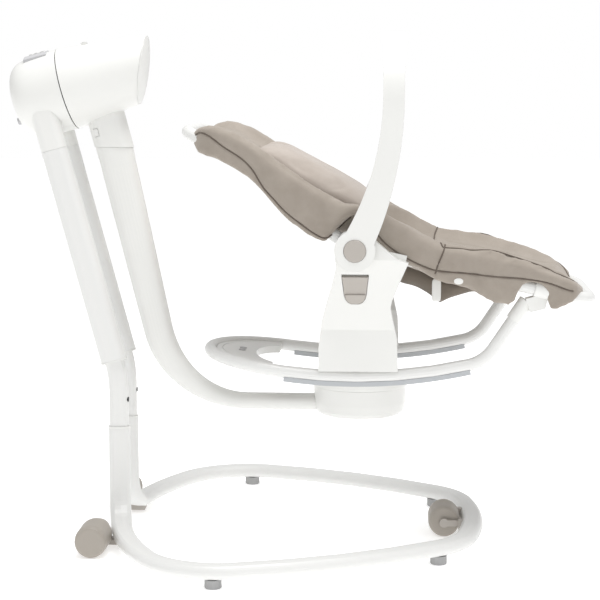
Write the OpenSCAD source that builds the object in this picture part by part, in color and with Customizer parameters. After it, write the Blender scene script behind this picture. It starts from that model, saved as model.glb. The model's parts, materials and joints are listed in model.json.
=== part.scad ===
// Baby swing: a rocker seat on a turntable, carried by a J-shaped arm that hangs from a motor head
// on two slanted legs and an oval tube base. X runs from the motor head to the foot of the seat,
// Z is up, and the part is symmetric about the plane Y = 0 apart from its small controls.

/* [Base] */
// Tube centreline at the front of the base, from the origin
base_front = 300; // [250:1:350]
// Half width of the base over its tube centrelines
base_half_width = 347; // [280:1:420]
// Width of the flat oval base tube
base_tube_w = 37; // [28:0.5:48]
// Height of the flat oval base tube
base_tube_h = 23; // [18:0.5:30]
// Wall of all steel tubes
tube_wall = 1.6; // [1:0.1:2.5]
// Gap from the floor to the underside of the base tube
base_clear = 14.5; // [10:0.5:24]
// Bend radius where the base turns up into the legs
rise_bend = 62; // [45:1:80]
// Radius of a floor foot
foot_r = 13.5; // [9:0.5:17]

/* [Legs] */
// Position of the upright part of the legs along X
leg_x = -309.5; // [-340:0.5:-270]
// Half distance between the two legs
leg_y = 48; // [40:0.5:60]
// Backward slant of the legs, degrees
tilt = 15; // [10:0.5:20]
// Height where the base uprights end
collar_z = 190; // [150:1:220]
// Height where the leg tube starts to bend back
leg_bend_z = 254; // [230:1:280]
// Bend radius of the leg tube
leg_bend_r = 200; // [150:5:260]
// Length of the legs from the bend to the swing axis
leg_length = 469.32; // [390:0.02:565]
// Width of the upper leg sleeve
sleeve_w = 46; // [38:0.5:50]
// Thickness of the upper leg sleeve
sleeve_t = 30; // [25:0.5:34]

/* [Motor head] */
// Radius of the drum at the seam
drum_r = 70; // [64:0.5:84]
// Length of the rear housing behind the seam
drum_back = 95; // [80:1:110]
// Shell thickness of the plastic housings
shell = 3; // [2:0.25:4]
// Gap between the turning bell and the fixed housing
seam_gap = 1.6; // [0.8:0.1:3]
// Radius of the main shaft
shaft_r = 12; // [8:0.5:14]
// Running clearance of every bearing, on the radius
run_gap = 0.05; // [0.02:0.01:0.09]

/* [Arm and cup] */
// Width of the swing arm at its collar
arm_top_w = 63; // [54:0.5:70]
// Width of the swing arm where it enters the cup
arm_end_h = 28; // [22:0.5:34]
// Thickness of the swing arm across the seat
arm_y = 42; // [34:0.5:50]
// Height of the arm centreline where it runs level
arm_z = 231; // [222:1:240]
// Centre of the cup along X
cup_x = 104; // [90:1:120]
// Radius of the cup
cup_r = 80; // [67:0.5:96]
// Height of the cup rim
cup_top = 262; // [256:0.5:266]

/* [Seat] */
// Height of the hub pivots
hub_z = 514; // [490:1:540]
// Half width to the outer face of the side pillars
hub_y = 193; // [188:0.5:230]
// Half width of the rocker runners over their tube centrelines
runner_y = 139; // [120:0.5:150]
// Radius of the runner and seat frame tubes
rail_r = 10.5; // [8:0.25:12]
// Curve radius of the rocker runners
rock_r = 850; // [700:10:1200]
// Half width of the seat frame over its tube centrelines
frame_y = 148; // [140:0.5:152]
// Height of the toy arch
arch_z = 862; // [760:1:1000]
// Distance from the hub to the foot bar
foot_len = 394; // [360:1:440]

/* [Hidden] */
$fn = 64;

c_white = [0.95, 0.95, 0.94];
c_grey = [0.66, 0.64, 0.62];
c_dark = [0.25, 0.25, 0.26];
c_fabric = [0.69, 0.64, 0.61];
c_steel = [0.7, 0.71, 0.72];
hub_x = 100;
sn = sin(tilt);
cs = cos(tilt);

// ---- shared 2D sections ----
module oval2d(w, h) {
    if (w > h) {
        square([w - h, h], center = true);
        translate([(w - h) / 2, 0]) circle(d = h, $fn = 64);
        translate([(h - w) / 2, 0]) circle(d = h, $fn = 64);
    } else {
        square([w, h - w], center = true);
        translate([0, (h - w) / 2]) circle(d = w, $fn = 64);
        translate([0, (w - h) / 2]) circle(d = w, $fn = 64);
    }
}
// a vertical plate: a profile in X and Z, from y0 to y1
module plate(pts, y0, y1) {
    translate([0, y1, 0]) rotate([90, 0, 0]) linear_extrude(y1 - y0) polygon(pts);
}
module rod_y(x, z, r, y0, y1) {
    translate([x, y1, z]) rotate([90, 0, 0]) cylinder(r = r, h = y1 - y0);
}
module both() {
    children();
    mirror([0, 1, 0]) children();
}

// ---- bent tubes: a path is walked move by move, and a hollow section is swept along it ----
// a state is [point, direction, wide axis, thin axis]; a move is [length] or [axis, radius, angle, steps]
function rot(v, a, f) = v * cos(f) + cross(a, v) * sin(f) + a * (a * v) * (1 - cos(f));
function bend(q, a, r, f) = let (c = q[0] + r * cross(a, q[1]))
    [c + rot(q[0] - c, a, f), rot(q[1], a, f), rot(q[2], a, f), rot(q[3], a, f)];
function walk(mv, st, i = 0) = i >= len(mv) ? st : let (q = st[len(st) - 1], m = mv[i])
    walk(mv, concat(st, len(m) == 1 ? [[q[0] + m[0] * q[1], q[1], q[2], q[3]]]
        : [for (k = [1 : m[3]]) bend(q, m[0], m[1], m[2] * k / m[3])]), i + 1);
function flip(q) = [for (v = q) [v[0], -v[1], v[2]]];
function whole(st) = concat(st, [for (i = [len(st) - 2 : -1 : 0]) flip(st[i])]);
function oval_pt(w, h, a) = let (c = cos(a), d = sin(a), r = min(w, h) / 2)
    [r * c + (w > h ? sign(c) * (w - h) / 2 : 0), r * d + (h > w ? sign(d) * (h - w) / 2 : 0)];
module sweep(st, w, h, t, n = 20) {
    m = len(st);
    o = m * n;
    function pts(x, y) = [for (q = st) for (k = [0 : n - 1]) let (p = oval_pt(x, y, 360 * (k + 0.5) / n))
        q[0] + p[0] * q[2] + p[1] * q[3]];
    polyhedron(points = concat(pts(w, h), pts(w - 2 * t, h - 2 * t)), faces = concat(
        [for (i = [0 : m - 2]) for (k = [0 : n - 1]) let (j = (k + 1) % n) for (e = [0, 1])
            e == 0 ? [i * n + k, (i + 1) * n + k, i * n + j] : [(i + 1) * n + k, (i + 1) * n + j, i * n + j]],
        [for (i = [0 : m - 2]) for (k = [0 : n - 1]) let (j = (k + 1) % n) for (e = [0, 1])
            e == 0 ? [o + i * n + k, o + i * n + j, o + (i + 1) * n + k]
            : [o + (i + 1) * n + k, o + i * n + j, o + (i + 1) * n + j]],
        [for (i = [0, m - 1]) for (k = [0 : n - 1]) let (j = (k + 1) % n, a = i * n + k, b = i * n + j)
            for (e = [0, 1]) i == 0 ? (e == 0 ? [a, b, o + a] : [b, o + b, o + a])
                : (e == 0 ? [a, o + a, b] : [b, o + a, o + b])]));
}

// ---- base tube ----
function turn(p, a, b, r) = p + r * [sin(b) - sin(a), cos(a) - cos(b)];
base_z = base_clear + base_tube_h / 2;
chord = 180 - atan((base_half_width - 195) / (base_front + 22));
ha = 102;
hb = chord - 11.5;
hc = chord + 11.5;
hd = 240;
he = 258;
ra = 550;
rb = 130;
pa = turn([base_front, 0], 90, ha, ra);
pb = turn(pa, ha, hb, rb);
pe = [leg_x, leg_y] - rise_bend * [cos(he), sin(he)];
kx = sin(hd) - sin(he);
ky = cos(he) - cos(hd);
ax2 = sin(hb) - sin(hc);
ay2 = cos(hb) - cos(hc);
ax3 = sin(hc) - sin(hd);
g = 1 + cos(hc);
g3 = 1 + cos(hd);
rd = (pe[0] + kx * (base_half_width - pe[1]) / ky - pb[0] + ax2 * (base_half_width - pb[1]) / ay2)
    / (ax2 * g / ay2 - ax3 + g3 * kx / ky);
rc = (base_half_width - pb[1] - g * rd) / ay2;
re = (base_half_width - pe[1] - g3 * rd) / ky;
pc = turn(pb, hb, hc, rc);
pd = turn(pc, hc, hd, rd);
wide = turn(pc, hc, 180, rd);

module flat_arc(p, a, b, r) {
    c = p + r * [-sin(a), cos(a)];
    translate([c[0], c[1], base_z]) rotate([0, 0, a - 90]) rotate_extrude(angle = b - a, $fn = 256)
        translate([r, 0]) children();
}
hx = cos(he);
hy = sin(he);
base_path = walk([[collar_z - base_z - rise_bend], [[-hy, hx, 0], rise_bend, 90, 10],
    [[0, 0, -1], re, he - hd, 4], [[0, 0, -1], rd, hd - hc, 12], [[0, 0, -1], rc, hc - hb, 4],
    [[0, 0, -1], rb, hb - ha, 7], [[0, 0, -1], ra, ha - 90, 4]],
    [[[leg_x, leg_y, collar_z], [0, 0, -1], [-hy, hx, 0], [hx, hy, 0]]]);
module base_tube() {
    color(c_white) sweep(whole(base_path), base_tube_w, base_tube_h, tube_wall, 18);
}
module foot_at(p) {
    translate([p[0], p[1], 0]) {
        cylinder(r1 = foot_r - 1.2, r2 = foot_r, h = 1.5);
        translate([0, 0, 1.5]) cylinder(r = foot_r, h = base_clear - 1.6);
    }
}
module floor_feet() {
    color(c_grey) both() {
        foot_at(wide);
        foot_at(pb);
    }
}

// ---- legs ----
in_w = base_tube_w - 2 * tube_wall - 0.6;
in_h = base_tube_h - 2 * tube_wall - 0.6;
bend_x = leg_x - leg_bend_r * (1 - cs);
bend_z = leg_bend_z + leg_bend_r * sn;
module leg_collars() {
    color(c_white) both() translate([leg_x, leg_y, collar_z + 0.1]) rotate([0, 0, he]) difference() {
        linear_extrude(3.4) oval2d(base_tube_h + 1, base_tube_w + 1);
        translate([0, 0, -1]) linear_extrude(6) oval2d(in_h + 0.2, in_w + 0.2);
    }
}
// the leg's own tube, bent back and slid into base and sleeve; s is the side, 1 or -1
module leg_tube(s) {
    tw = he - 270;
    path = walk([[leg_bend_z - collar_z + 60], [[0, -1, 0], leg_bend_r, tilt, 4], [150]],
        [[[leg_x, leg_y, collar_z - 60], [0, 0, 1], [cos(tw), sin(tw), 0], [-sin(tw), cos(tw), 0]]]);
    difference() {
        sweep(s > 0 ? path : [for (q = path) flip([q[0], q[1], q[2], -q[3]])], in_w, in_h, tube_wall, 18);
        pin_at(s, 4.25, 12);
    }
}
// snap pin through the rear wall's inner side of each leg tube, just under the bend
module pin_at(s, r, l) {
    translate([leg_x + in_w / 2 + 0.6 - l, s * leg_y, leg_bend_z - 14]) rotate([0, 90, 0])
        cylinder(r = r, h = l);
}
module snap_pin(s) {
    color(c_dark) {
        pin_at(s, 4, 7);
        translate([-6.4, 0, 0]) pin_at(s, 4.6, 1.2);
    }
}
module snap_pin_left() { snap_pin(1); }
module snap_pin_right() { snap_pin(-1); }
module leg_tube_left() { color(c_white) leg_tube(1); }
module leg_tube_right() { color(c_white) leg_tube(-1); }
sleeve_len = leg_length - drum_r - 24;
module along_leg(s, d) {
    translate([bend_x, s * leg_y, bend_z]) rotate([0, -tilt, 0]) translate([0, 0, d]) children();
}
module leg_sleeve(s) {
    color(c_white) along_leg(s, 3) difference() {
        linear_extrude(sleeve_len - 3.2) oval2d(sleeve_w, sleeve_t);
        translate([0, 0, -1]) linear_extrude(sleeve_len)
            oval2d(sleeve_w - 2 * tube_wall, sleeve_t - 2 * tube_wall);
    }
}
module leg_sleeve_left() { leg_sleeve(1); }
module leg_sleeve_right() { leg_sleeve(-1); }
module sleeve_rings() {
    color(c_white) both() along_leg(1, 0) difference() {
        linear_extrude(2.9) oval2d(sleeve_w + 0.8, sleeve_t + 0.8);
        translate([0, 0, -1]) linear_extrude(6) rotate(he - 270) oval2d(in_w + 0.2, in_h + 0.2);
    }
}

// ---- rollers ----
wheel_r = base_z + 1.2;
rear_wx = leg_x - 25.5;
front_wx = base_front - base_tube_w / 2 - wheel_r - 3;
module rear_bracket() {
    difference() {
        union() {
            rod_y(rear_wx, wheel_r + 0.3, 17, 106, 130);
            translate([rear_wx, 106, 5]) cube([44, 24, base_clear - 5.4]);
            translate([rear_wx, 106, 5]) cube([12, 24, 30]);
        }
        rod_y(rear_wx, wheel_r + 0.3, 4, 100, 140);
        flat_arc(pd, hd - 1, he, re) oval2d(base_tube_w + 0.4, base_tube_h + 0.4);
        translate([pe[0], pe[1], base_z + rise_bend]) rotate([0, 0, he]) rotate([90, 0, 0])
            rotate([0, 0, -90]) rotate_extrude(angle = 60, $fn = 256) translate([rise_bend, 0])
            oval2d(base_tube_h + 0.4, base_tube_w + 0.4);
    }
}
module rear_bracket_left() { color(c_grey) rear_bracket(); }
module rear_bracket_right() { color(c_grey) mirror([0, 1, 0]) rear_bracket(); }
module front_bracket() {
    tube_x = base_front - base_tube_w / 2;
    color(c_grey) difference() {
        both() {
            rod_y(front_wx, wheel_r + 0.3, 8, 34.5, 40);
            translate([front_wx, 34.5, wheel_r - 5.2]) cube([tube_x - front_wx + 3, 5.5, 11]);
            translate([tube_x - 6, 34.5, base_z - 9]) cube([9, 14, 18]);
        }
        both() flat_arc([base_front, 0], 90, ha, ra) oval2d(base_tube_w + 0.4, base_tube_h + 0.4);
        rod_y(front_wx, wheel_r + 0.3, 4, -39, 39);
    }
}
module roller_axles() {
    color(c_steel) {
        both() rod_y(rear_wx, wheel_r + 0.3, 4, 106, 198);
        rod_y(front_wx, wheel_r + 0.3, 4, -39, 39);
    }
}
// a roller with its bore closed over the last of its length at y1, or open at both ends
module wheel(x, y0, y1, cap) {
    w = y1 - y0;
    translate([x, y1, wheel_r + 0.3]) rotate([90, 0, 0]) rotate_extrude()
        polygon(concat(cap > 0 ? [[0, cap], [0, 0]] : [[4 + run_gap, 0]], [[wheel_r - 6, 0],
            [wheel_r - 2.8, 1.4], [wheel_r - 1, 5], [wheel_r, 12], [wheel_r, w - 12], [wheel_r - 1, w - 5],
            [wheel_r - 2.8, w - 1.4], [wheel_r - 6, w], [4 + run_gap, w]], cap > 0 ? [[4 + run_gap, cap]] : []));
}
module rear_roller_left() { color(c_grey) wheel(rear_wx, 134, 204, 5); }
module rear_roller_right() { color(c_grey) mirror([0, 1, 0]) wheel(rear_wx, 134, 204, 5); }
module front_roller() { color(c_grey) wheel(front_wx, -33, 33, 0); }

// ---- motor head, in its own frame: X along the swing axis, Z along the legs ----
leg_s = -49.58;
axis_x = bend_x - leg_length * sn - leg_s * cs;
axis_z = bend_z + leg_length * cs - leg_s * sn;
module head() {
    translate([axis_x, 0, axis_z]) rotate([0, -tilt, 0]) children();
}
module spin_x(pts) {
    rotate([0, 90, 0]) rotate_extrude() polygon(pts);
}
rear_s0 = -7 - seam_gap;
function rear_r(t) = drum_r * (1 - 0.05 * t) * pow(max(0, 1 - pow(t, 7)), 0.4);
module rear_form(off) {
    n = 22;
    l = drum_back - off;
    spin_x(concat([[0, rear_s0 + (off > 0 ? 1 : 0)]],
        [for (i = [0 : n]) let (t = 1 - pow(1 - i / n, 1.6)) [max(0, rear_r(t) - off), rear_s0 - l * t
            + (off > 0 && i == 0 ? 1 : 0)]]));
}
module boots(w, t, l) {
    both() translate([leg_s, leg_y, -leg_length + sleeve_len]) linear_extrude(l) oval2d(w, t);
}
module rear_housing() {
    color(c_white) head() difference() {
        union() {
            rear_form(0);
            boots(sleeve_w, sleeve_t, 62);
            both() translate([leg_s, leg_y, -leg_length + sleeve_len + 62]) scale([1, 1, 0.6])
                intersection() {
                    rotate([90, 0, 0]) translate([0, 0, -sleeve_t / 2])
                        cylinder(d = sleeve_w, h = sleeve_t);
                    translate([0, 0, -1]) linear_extrude(60) oval2d(sleeve_w, sleeve_t);
                }
        }
        rear_form(shell);
        boots(sleeve_w - 2 * shell, sleeve_t - 2 * shell, 40);
        translate([-130, -20, -32]) rotate([0, 90, 0]) cylinder(r = 6.1, h = 60);
        key_holes(5.4);
    }
}
module bearing_bulkhead() {
    color(c_grey) head() difference() {
        translate([-24, 0, 0]) rotate([0, 90, 0]) cylinder(r = drum_r - shell - 1.2, h = 11);
        translate([-40, 0, 0]) rotate([0, 90, 0]) cylinder(r = shaft_r + run_gap, h = 60);
    }
}
key_s = [-53, -43, -33];
module key_holes(r) {
    for (s = key_s) translate([s, 0, drum_r - 12]) cylinder(r = r, h = 30);
}
panel_r = drum_r + 1.6;
module control_panel() {
    color(c_grey) head() difference() {
        intersection() {
            translate([-64, 0, 0]) rotate([0, 90, 0]) cylinder(r = panel_r, h = 40);
            translate([-64, -30, 40]) cube([40, 60, 60]);
        }
        rear_form(0);
        key_holes(5.4);
    }
}
module key(s) {
    color(c_white) head() {
        translate([s, 0, drum_r - 6]) cylinder(r = 5, h = 8.8);
        translate([s, 0, drum_r - 10]) cylinder(r = 4.4, h = 5);
    }
}
module key_power() { key(key_s[0]); }
module key_speed() { key(key_s[1]); }
module key_timer() { key(key_s[2]); }
module power_inlet() {
    color(c_dark) head() difference() {
        translate([rear_s0 - drum_back + 1, -20, -32]) rotate([0, 90, 0]) cylinder(r = 6, h = 22);
        translate([rear_s0 - drum_back - 5, -20, -32]) rotate([0, 90, 0]) cylinder(r = 2.8, h = 20);
    }
}
drive_h = 24 + 10 + 0.15;
module drive_motor() {
    color(c_steel) head() {
        translate([-50, 0, drive_h]) rotate([0, 90, 0]) cylinder(r = 14, h = 25.6);
    }
}
module drive_roller() {
    color(c_dark) head() translate([-61, 0, drive_h]) rotate([0, 90, 0]) cylinder(r = 10, h = 10.6);
}
function bell_r(s) = drum_r - 0.105 * (s + 7) - 0.0001 * (s + 7) * (s + 7);
module bell_form(off, s0) {
    spin_x(concat([[0, s0]], [for (i = [0 : 12]) let (s = s0 + (176 - s0) * i / 12) [bell_r(s) - off, s]],
        [[0, 176]]));
}
module front_cut(d) {
    translate([126.4 + d, 0, 0]) rotate([0, 22.1, 0]) translate([0, -200, -250]) cube([400, 400, 500]);
}
arm_s = 42;
collar_cut = axis_z - 101;
module below_collar(d) {
    translate([-600, -100, collar_cut - 200 + d]) cube([500, 200, 200]);
}
module swing_bell() {
    color(c_white) difference() {
        head() difference() {
            union() {
                bell_form(0, -7);
                translate([arm_s, 0, -145]) linear_extrude(100) oval2d(arm_top_w + 2.4, arm_y + 2.4);
            }
            intersection() {
                bell_form(shell, -4);
                translate([-4, -100, -100]) cube([200, 200, 200]);
            }
            front_cut(0);
            translate([-20, 0, 0]) rotate([0, 90, 0]) cylinder(r = shaft_r, h = 40);
            translate([arm_s, 0, -150]) linear_extrude(100) oval2d(arm_top_w - 4.6, arm_y - 4.6);
            translate([33, -7.2, drum_r - 12]) cube([19, 14.4, 20]);
            translate([arm_s - 24.5, -40, -91.7]) cube([8.6, 30, 14]);
        }
        below_collar(0);
    }
}
module bell_face() {
    color(c_white) head() difference() {
        intersection() {
            bell_form(0, 60);
            translate([126.4, 0, 0]) rotate([0, 22.1, 0]) translate([-295, 0, -4])
                sphere(r = 302, $fn = 120);
        }
        difference() {
            translate([-300, -300, -300]) cube(700);
            front_cut(0.3);
        }
    }
}
module swing_shaft() {
    color(c_steel) head() {
        translate([-70, 0, 0]) rotate([0, 90, 0]) cylinder(r = shaft_r, h = 85);
        translate([-60.6, 0, 0]) rotate([0, 90, 0]) cylinder(r = 24, h = 9.6);
    }
}
module lock_slider() {
    color(c_white) head() {
        translate([35, -7, drum_r - 10]) cube([9, 14, 8.5]);
        translate([36.5, -4, drum_r - 4]) cube([5, 8, 3.4]);
    }
}
module arm_release() {
    color(c_dark) head() translate([arm_s - 24.2, -22.4, -91.2]) cube([8, 4.4, 13]);
}

// ---- swing arm: stations from the collar down, round the bend and into the cup ----
line_x = axis_x + arm_s * cs;
line_z = axis_z + arm_s * sn;
bend_r = 160;
arm_tilt = tilt - 2;
an = sin(arm_tilt);
ac = cos(arm_tilt);
top_x = line_x + (line_z - collar_cut) * sn / cs;
corner_x = top_x + (collar_cut - arm_z) * an / ac;
bt = bend_r * tan((90 - arm_tilt) / 2);
bs_x = corner_x - bt * an;
bs_z = arm_z + bt * ac;
arm_end_x = cup_x - cup_r + 24;
// each station: centre x, z, direction of its width, half width, half thickness
arm_mid_w = arm_end_h / 2 + 11;
function arm_w(t) = t < 0.55 ? arm_top_w / 2 - (arm_top_w / 2 - arm_mid_w) * t / 0.55
    : arm_mid_w - (arm_mid_w - arm_end_h / 2) * min(1, max(0, (t - 0.74) / 0.2));
function st_line(i, n) = let (f = i / n, a = arm_tilt * min(1, f * 4)) [top_x + (bs_x - top_x) * f,
    collar_cut + (bs_z - collar_cut) * f, a, arm_w(0.55 * f), arm_y / 2];
function st_bend(i, n) = let (f = i / n, a = arm_tilt + (90 - arm_tilt) * f) [bs_x + bend_r * (ac - cos(a)),
    bs_z - bend_r * (sin(a) - an), a,
    arm_mid_w - (arm_mid_w - arm_end_h / 2) * (1 - cos(180 * min(1, f * 1.05))) / 2, arm_y / 2 + 2 * f];
arm_st = concat(
    [[top_x - 45 * sn, collar_cut + 45 * cs, tilt, arm_top_w / 2 - 3, arm_y / 2 - 3],
     [top_x, collar_cut - 0.2, 0, arm_top_w / 2 - 3, arm_y / 2 - 3]],
    [for (i = [0 : 14]) let (q = st_line(i, 14)) i == 0 ? [q[0], q[1] - 0.4, 0, q[3] / ac, q[4]] : q],
    [for (i = [1 : 16]) st_bend(i, 16)],
    [[arm_end_x, arm_z, 90, arm_end_h / 2, arm_y / 2 + 2]]);
arm_n = 36;
function arm_pt(q, k) = let (a = 360 * k / arm_n, c = cos(a), d = sin(a),
    u = q[3] * sign(c) * pow(abs(c), 0.85), v = q[4] * sign(d) * pow(abs(d), 0.85))
    [q[0] + u * cos(q[2]), v, q[1] + u * sin(q[2])];
module swing_arm() {
    m = len(arm_st);
    color(c_white) polyhedron(
        points = [for (q = arm_st) for (k = [0 : arm_n - 1]) arm_pt(q, k)],
        faces = concat([[for (k = [0 : arm_n - 1]) arm_n - 1 - k]],
            [[for (k = [0 : arm_n - 1]) (m - 1) * arm_n + k]],
            [for (i = [0 : m - 2]) for (k = [0 : arm_n - 1]) let (j = (k + 1) % arm_n)
                [i * arm_n + j, (i + 1) * arm_n + k, i * arm_n + k]],
            [for (i = [0 : m - 2]) for (k = [0 : arm_n - 1]) let (j = (k + 1) % arm_n)
                [i * arm_n + j, (i + 1) * arm_n + j, (i + 1) * arm_n + k]]));
}

// ---- cup and turntable ----
cup_z = arm_z - arm_end_h / 2 - 4.5;
module cup_shell() {
    color(c_white) difference() {
        translate([cup_x, 0, 0]) rotate_extrude() polygon([[0, cup_z], [cup_r - 18, cup_z],
            [cup_r - 11, cup_z + 1.2], [cup_r - 6, cup_z + 4], [cup_r - 3, cup_z + 9],
            [cup_r - 1.2, cup_z + 22], [cup_r, cup_top], [cup_r - shell, cup_top],
            [cup_r - shell - 1.2, cup_z + 22], [cup_r - 12, cup_z + shell + 2], [18, cup_z + shell + 2],
            [18, cup_top - 4], [10 + run_gap, cup_top - 4], [10 + run_gap, cup_z + 8], [0, cup_z + 8]]);
        translate([cup_x - cup_r - 5, 0, arm_z]) rotate([90, 0, 90]) linear_extrude(30)
            oval2d(arm_y + 4.6, arm_end_h + 0.6);
    }
}
disc_z = cup_top + 0.4;
module turntable() {
    color(c_white) translate([cup_x, 0, 0]) rotate_extrude() polygon([[0, cup_z + 12], [10, cup_z + 12],
        [10, disc_z], [cup_r + 1, disc_z], [cup_r + 1.6, disc_z + 2], [cup_r + 1.6, disc_z + 11],
        [cup_r - 1, disc_z + 14.5], [30, disc_z + 14.5], [30, disc_z + 30], [28, disc_z + 32],
        [0, disc_z + 32]]);
}

// ---- rocker base: bridge, runners, pads, connectors ----
rock_x = cup_x - 9;
rock_z = disc_z + 36.6;
rail_x0 = rock_x - 112;
slope0 = asin((rock_x - rail_x0) / rock_r);
rail_z0 = rock_z + rock_r * (1 - cos(slope0));
toe_a = 13;
toe_turn = 43.5;
toe_r = 65;
toe_x = rock_x + rock_r * sin(toe_a);
toe_z = rock_z + rock_r * (1 - cos(toe_a));
lift_a = toe_a + toe_turn;
lift_x = toe_x + toe_r * (sin(lift_a) - sin(toe_a));
lift_z = toe_z + toe_r * (cos(toe_a) - cos(lift_a));
lift_l = 84;
module seat_bridge() {
    color(c_white) difference() {
        union() {
            translate([cup_x, 0, disc_z + 14.7]) cylinder(r = 58, h = 12);
            translate([rock_x - 50, -runner_y + rail_r + 0.4, disc_z + 26])
                cube([108, 2 * (runner_y - rail_r - 0.4), 14]);
        }
        translate([cup_x, 0, disc_z]) cylinder(r = 30 + run_gap, h = 34);
    }
}
runner_path = walk([[lift_l], [[0, 1, 0], toe_r, toe_turn, 7], [[0, 1, 0], rock_r, toe_a + slope0, 5],
    [[sin(slope0), 0, cos(slope0)], runner_y, 90, 10]],
    [[[lift_x + lift_l * cos(lift_a), runner_y, lift_z + lift_l * sin(lift_a)],
        [-cos(lift_a), 0, -sin(lift_a)], [0, 1, 0], [sin(lift_a), 0, -cos(lift_a)]]]);
module hoop_frame() {
    translate([rail_x0, 0, rail_z0]) rotate([0, slope0, 0]) children();
}
module runner_loop() {
    color(c_white) sweep(whole(runner_path), 2 * rail_r, 2 * rail_r, tube_wall, 16);
}
module runner_pads() {
    color(c_grey) both() difference() {
        translate([rock_x, runner_y, rock_z + rock_r]) rotate([90, 0, 0]) rotate([0, 0, -90 - slope0])
            rotate_extrude(angle = slope0 + toe_a, $fn = 256) translate([rock_r + 4, -8])
            square([rail_r + 0.5, 16]);
        translate([rock_x, runner_y, rock_z + rock_r]) rotate([90, 0, 0]) rotate([0, 0, -91 - slope0])
            rotate_extrude(angle = slope0 + toe_a + 2, $fn = 256) translate([rock_r, 0])
            circle(r = rail_r + 0.05);
    }
}
foot_a = 12.53;
con_x = 412;
con_z = hub_z - (con_x - hub_x) * tan(foot_a);
module front_connectors() {
    color(c_white) both() difference() {
        union() {
            translate([lift_x, runner_y, lift_z]) rotate([0, 90 - lift_a, 0]) translate([0, 0, 58])
                cylinder(r = rail_r + 2.2, h = lift_l - 58 + 12);
            rail_clamp(con_x - 8, 13);
            plate([[con_x - 36, con_z - 12], [con_x - 28, con_z - 34], [con_x - 4, con_z - 28],
                [con_x + 2, con_z - 2]], runner_y - 6, frame_y + 4);
        }
        translate([lift_x, runner_y, lift_z]) rotate([0, 90 - lift_a, 0])
            cylinder(r = rail_r + 0.1, h = lift_l + 0.1);
        at_foot() translate([300, frame_y, 0]) rotate([0, 90, 0]) translate([0, 0, -260])
            cylinder(r = rail_r + 0.1, h = 300);
    }
}
module at_foot() {
    translate([hub_x, 0, hub_z]) rotate([0, foot_a, 0]) children();
}
module rail_clamp(x, l) {
    at_foot() translate([(x - hub_x) / cos(foot_a) - l, frame_y, 0]) rotate([0, 90, 0])
        cylinder(r = rail_r + 2.6, h = 2 * l);
}
module sooth_panel() {
    color(c_white) hoop_frame() difference() {
        translate([0, 0, -8]) cylinder(r = runner_y - rail_r - 0.4, h = 13);
        translate([-24, -200, -30]) cube([400, 400, 60]);
        translate([0, 0, -30]) scale([0.62, 1, 1]) cylinder(r = 96, h = 60);
        translate([0, 0, 3.6]) difference() {
            cylinder(r = runner_y - rail_r - 9.4, h = 4);
            translate([0, 0, -1]) cylinder(r = runner_y - rail_r - 10.4, h = 6);
        }
        for (k = [0, 1]) translate([-84, 10 - 22 * k, -1]) cylinder(r = 6.4, h = 10);
    }
}
module sooth_key(k) {
    color(c_grey) hoop_frame() translate([-84, 10 - 22 * k, 0.8]) cylinder(r = 6, h = 5.4);
}
module sooth_key_a() { sooth_key(0); }
module sooth_key_b() { sooth_key(1); }

// ---- side pillars, on the +Y side, mirrored for the other ----
crease_z = 379;
foot_y = runner_y + 13;
lean = atan((hub_y - 5 - foot_y) / (hub_z - 16 - crease_z));
bot_z = rock_z + rail_r + 0.3;
pillar_pts = [[39, bot_z], [40, 355], [45, 395], [53, 425], [61, 452], [69, hub_z - 30], [67, hub_z - 2],
    [70, hub_z + 14], [80, hub_z + 27], [hub_x, hub_z + 33], [120, hub_z + 28], [136, hub_z + 12],
    [168, hub_z - 15], [186, hub_z - 21], [171, 458], [160, 430], [157, 416], [162, 389], [168, 362],
    [170, bot_z]];
module pillar_side() {
    difference() {
        union() {
            intersection() {
                plate(pillar_pts, 100, 230);
                rotate([90, 0, 90]) linear_extrude(400) polygon([[foot_y - 25, bot_z], [foot_y, bot_z],
                    [foot_y, crease_z], [hub_y - 5, hub_z - 16], [hub_y - 5, hub_z + 60],
                    [hub_y - 32, hub_z + 60],
                    [hub_y - 32, hub_z - 22], [foot_y - 25, crease_z - 4]]);
            }
            rod_y(hub_x, hub_z, 30, hub_y - 20, hub_y);
            intersection() {
                at_foot() translate([48, frame_y, 0]) rotate([0, 90, 0])
                    cylinder(r = rail_r + 3.5, h = 36);
                translate([0, frame_y - 30, 0]) cube([400, 60, 900]);
            }
            at_foot() translate([48, frame_y, -8]) cube([36, hub_y - 20 - frame_y, 16]);
        }
        rod_y(hub_x, hub_z, 5, 100, 230);
        at_foot() translate([60.2, frame_y, 0]) rotate([0, 90, 0]) cylinder(r = rail_r + 0.05, h = 60);
        on_face() translate([0, 0, -8.2]) linear_extrude(20) hull() {
            offset(delta = 0.6) polygon(latch_pts);
            translate([0, 4.4]) offset(delta = 0.6) polygon(latch_pts);
        }
        translate([rock_x, runner_y, rock_z + rock_r]) rotate([90, 0, 0]) rotate([0, 0, -100])
            rotate_extrude(angle = 20, $fn = 256) translate([rock_r, 0]) circle(r = rail_r + 0.8);
    }
}
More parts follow.
